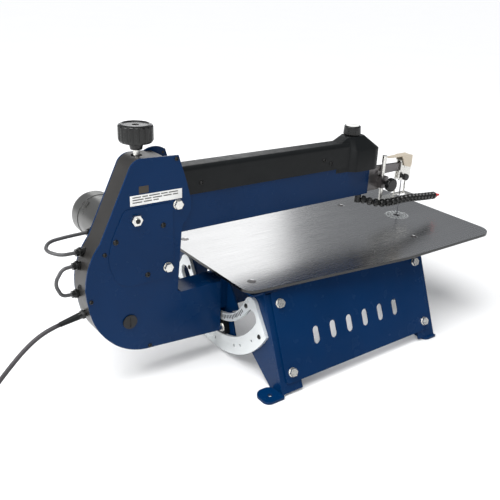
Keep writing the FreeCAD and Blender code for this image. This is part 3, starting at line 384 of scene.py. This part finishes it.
# ---------------------------------------------------------------- mains cord
CORD_DIAMETER, CORD_LENGTH = 0.007, 1.8
ROUTE = [(-482, 0, 126.3), (-512, -1, 109), (-544, -5, 82), (-574, -6, 50), (-600, -2, 22),
         (-628, 7, 5), (-664, 16, 3.6), (-706, 13, 3.6)]
COIL_CENTRE, COIL_RADIUS, TURN_PITCH = (-724, -41.9), 42, 7.3
COIL_STEP = 20
COIL_START, COIL_TOP, COIL_OUTSIDE, COIL_NEAR_FLOOR, COIL_END = 125, 1205, 1265, 1930, 2050
ON_FLOOR = 3.6
PLUG_ENTRY, PLUG_AIM, PLUG_LEAD_IN = (-717, -101.196, 9), (0.92, -0.30, 0), 0.012
RELIEF_TO_EXIT = (0.0008, 0, 0.0039)


def coil_points():
    """Two nested helices: up inside for three turns, across, and down outside for two."""
    points = []
    high = ON_FLOOR + TURN_PITCH * 3
    inner, outer = COIL_RADIUS - TURN_PITCH / 2, COIL_RADIUS + TURN_PITCH / 2
    above = high - TURN_PITCH * (COIL_NEAR_FLOOR - COIL_OUTSIDE) / 360
    for angle in range(COIL_START, COIL_END + 1, COIL_STEP):
        if angle <= COIL_TOP:
            radius, height = inner, ON_FLOOR + TURN_PITCH * (angle - COIL_START) / 360
        elif angle <= COIL_OUTSIDE:
            across = (angle - COIL_TOP) / (COIL_OUTSIDE - COIL_TOP)
            radius, height = inner + (outer - inner) * across, high
        elif angle <= COIL_NEAR_FLOOR:
            radius, height = outer, high - TURN_PITCH * (angle - COIL_OUTSIDE) / 360
        else:
            share = (angle - COIL_NEAR_FLOOR) / (COIL_END - COIL_NEAR_FLOOR)
            radius, height = outer, above + (ON_FLOOR - above) * share
        turn = math.radians(angle)
        points.append((COIL_CENTRE[0] + radius * math.cos(turn),
                       COIL_CENTRE[1] + radius * math.sin(turn), height))
    return points


def spline_line(points):
    """The smooth line that a quadratic NURBS draws through the route, as points."""
    data = bpy.data.curves.new("line", "CURVE")
    data.dimensions = "3D"
    spline = data.splines.new("NURBS")
    spline.points.add(len(points) - 1)
    for knot, place in zip(spline.points, points):
        knot.co = (*place, 1)
    spline.order_u = 3
    spline.use_endpoint_u = True
    spline.resolution_u = 6
    holder = link(bpy.data.objects.new("line", data))
    bpy.context.view_layer.update()
    mesh = bpy.data.meshes.new_from_object(holder)
    line = [vertex.co.copy() for vertex in mesh.vertices]
    bpy.data.objects.remove(holder)
    return line


def tube(name, line, diameter, slot, steps=14):
    """A round tube that follows a line of points without twisting."""
    bm = bmesh.new()
    rings = []
    side = None
    for index, here in enumerate(line):
        ahead = line[min(index + 1, len(line) - 1)] - line[max(index - 1, 0)]
        ahead.normalize()
        if side is None:
            side = ahead.orthogonal().normalized()
        side = (side - ahead * side.dot(ahead)).normalized()
        up = ahead.cross(side)
        rings.append([bm.verts.new(here + (side * math.cos(turn) + up * math.sin(turn)) * diameter / 2)
                      for turn in (2 * math.pi * k / steps for k in range(steps))])
    cap_rings(bm, rings)
    return mesh_piece(name, bm, slot)


def mains():
    """The mains lead from its strain relief to the coil and plug."""
    relief_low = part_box("strain_relief")[0]
    exit_point = Vector((relief_low.x, 0, relief_low.z)) + Vector(RELIEF_TO_EXIT)
    route = [exit_point] + [Vector(point) * MM for point in ROUTE + coil_points()]
    entry = Vector(PLUG_ENTRY) * MM
    aim = Vector(PLUG_AIM).normalized()
    route += [entry - aim * PLUG_LEAD_IN, entry]
    line = spline_line(route)
    cord = tube("mains_lead", line, CORD_DIAMETER, "cord_rubber")
    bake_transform(cord)
    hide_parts("mains_cord", "mains_coil")
    body, pins = plug(entry, aim)


def plug(entry, aim):
    """A moulded plug with a ribbed boot, and its three flat pins."""
    bm = bmesh.new()
    place = towards(entry, aim)
    add_lathe(bm, [(0.0042, -0.006), (0.0046, -0.003), (0.0046, 0.0), (0.006, 0.0005),
                   (0.006, 0.003), (0.0048, 0.0036), (0.0048, 0.006), (0.0066, 0.0066), (0.0066, 0.01)],
              place, 24)
    verts = add_box(bm, (-0.013, -0.009, 0.008), (0.013, 0.009, 0.032))
    bmesh.ops.transform(bm, matrix=place, verts=verts)
    body = mesh_piece("plug_body", bm, "cord_rubber", "base")
    soften(body, 0.002)
    bm = bmesh.new()
    for low, high in (((-0.0105, 0.0005, 0.031), (-0.0045, 0.0022, 0.050)),
                      ((0.0045, 0.0005, 0.031), (0.0105, 0.0022, 0.050)),
                      ((-0.0009, -0.006, 0.031), (0.0009, -0.001, 0.050))):
        verts = add_box(bm, low, high)
        bmesh.ops.transform(bm, matrix=place, verts=verts)
    pins = mesh_piece("plug_pins", bm, "zinc_steel", "base", smooth=False)
    soften(pins, 0.0005, 2)
    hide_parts("mains_plug")
    return body, pins


# ---------------------------------------------------------------- markings
TILT_AXIS_Z = next(joint["pos_m"][2] for joint in frame["record"]["behaviour"]["joints"]
                   if joint["name"] == "head_tilt")
MARKS_EACH_WAY, MARK_ANGLE, MARK_HALF = 17, 3, 0.7
MARK_FROM, MARK_TO, LONG_MARK_TO = 0.1005, 0.1068, 0.1085
STUD_X, STUD_Z = -0.340, 0.286
DUST_RINGS = ((0.011, 10), (0.017, 16), (0.023, 22))
# The profile of the painted highlight rings at the dust holes.
DUST_HIGHLIGHT_RING = ((0.0019, -0.0006), (0.0020, 0.00005), (0.0027, 0.00005))
TEETH_FROM, TEETH_TO, TOOTH_PITCH, TOOTH_DEPTH, TOOTH_HALF = 0.182, 0.245, 0.0021, 0.0007, 0.00022


def polar(radius, angle):
    """A point's y and z at a radius from the tilt axis, and at degrees from straight down."""
    turn = math.radians(angle)
    return radius * math.sin(turn), TILT_AXIS_Z - radius * math.cos(turn)


def tilt_scale(node, name, outward):
    """Marks three degrees apart on a crescent's rim, longer at each fifth, with no numbers."""
    low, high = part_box(node)
    face = low.x if outward < 0 else high.x
    bm = bmesh.new()
    for mark in range(-MARKS_EACH_WAY, MARKS_EACH_WAY + 1):
        first, second = mark * MARK_ANGLE - MARK_HALF, mark * MARK_ANGLE + MARK_HALF
        reach = LONG_MARK_TO if mark % 5 == 0 else MARK_TO
        corners = [polar(MARK_FROM, first), polar(MARK_FROM, second),
                   polar(reach, second), polar(reach, first)]
        cap_rings(bm, [[bm.verts.new((x, y, z)) for y, z in corners]
                       for x in (face - outward * 0.0002, face + outward * 0.00012)])
    mesh_piece(name, bm, "black_screws", "base", smooth=False)


def label_bars():
    """Short grey bars where the label has its small print."""
    low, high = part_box("warning_label")
    bm = bmesh.new()
    rows = 3
    height = (high.z - low.z) / (rows + 1)
    for row in range(rows):
        z = high.z - height * (row + 0.8)
        x = low.x + 0.004
        words = (0.014, 0.009, 0.018, 0.011, 0.016)
        for index in range(len(words)):
            length = words[(index + 2 * row) % len(words)]
            if x + length > high.x - 0.003 or (row == rows - 1 and index > 2):
                break
            add_box(bm, (x, low.y - 0.00008, z - 0.0009), (x + length, low.y + 0.0001, z + 0.0009))
            x += length + 0.0022
    mesh_piece("label_print", bm, "motor_grey", "head", smooth=False)


def small_sticker():
    """A plain dull patch above the label."""
    low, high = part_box("warning_label")
    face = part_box("column_near_plate")[0].y
    bm = bmesh.new()
    add_box(bm, (low.x + 0.015, face - 0.0003, high.z + 0.002), (low.x + 0.031, face, high.z + 0.013))
    mesh_piece("small_sticker", bm, "label_white", "head", smooth=False, finish="sticker")


def knob_disc():
    """The pale disc let into the speed knob's top."""
    low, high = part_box("speed_knob")
    centre = Vector(((low.x + high.x) / 2, 0, high.z))
    bm = bmesh.new()
    add_lathe(bm, [(0.0005, 0), (0.0125, 0), (0.0125, 0.0004), (0.0115, 0.0009), (0.0005, 0.0009)],
              Matrix.Translation(centre), 48)
    mesh_piece("speed_knob_disc", bm, "white_plastic", "speed_knob")


def stud_end():
    """A flat dark disc on the end of the column's largest stud: painted shade where its recess is."""
    low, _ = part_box("frame_bolts")
    bm = bmesh.new()
    add_lathe(bm, [(0.0004, 0), (0.0040, 0), (0.0040, 0.0002), (0.0004, 0.0002)],
              towards((STUD_X, low.y, STUD_Z), (0, -1, 0)), 24)
    # Painted shade: a thin black disc stands for the shade in the stud's recess.
    mesh_piece("stud_end_painted_shade", bm, "black_screws", "head", smooth=False)


def dust_hole_highlights():
    """Bright chamfer-shaped rings at the dust holes round the blade: a painted highlight for the light
    the holes let through.
    """
    blade_low, blade_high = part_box("blade")
    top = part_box("table")[1].z
    bm = bmesh.new()
    for ring, count in DUST_RINGS:
        for index in range(count):
            turn = 2 * math.pi * index / count
            place = Matrix.Translation(((blade_low.x + blade_high.x) / 2 + ring * math.cos(turn),
                                        ring * math.sin(turn), top))
            join_rings(bm, add_rings(bm, DUST_HIGHLIGHT_RING, place, 20))
    # Painted highlight: the rings take a pale silver finish.
    mesh_piece("dust_hole_painted_highlights", bm, "trunnion_silver", "base")


def blade_teeth():
    """Saw teeth along the blade's front edge, pointing down."""
    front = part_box("blade")[1].x
    bm = bmesh.new()
    z = TEETH_FROM
    while z < TEETH_TO:
        outline = [(front - 0.0002, z + TOOTH_PITCH * 0.9), (front + TOOTH_DEPTH, z + 0.0002),
                   (front - 0.0002, z)]
        cap_rings(bm, [[bm.verts.new((x, y, height)) for x, height in outline]
                       for y in (-TOOTH_HALF, TOOTH_HALF)])
        z += TOOTH_PITCH
    mesh_piece("blade_teeth", bm, "blade_steel", "lower_blade_clamp", smooth=False)


# ---------------------------------------------------------------- build
camera()
mains()
dress_cad_nodes()
tilt_scale("rear_trunnion_plate", "rear_tilt_scale", -1)
tilt_scale("front_trunnion_plate", "front_tilt_scale", 1)
label_bars()
small_sticker()
knob_disc()
stud_end()
dust_hole_highlights()
blade_teeth()
studio()
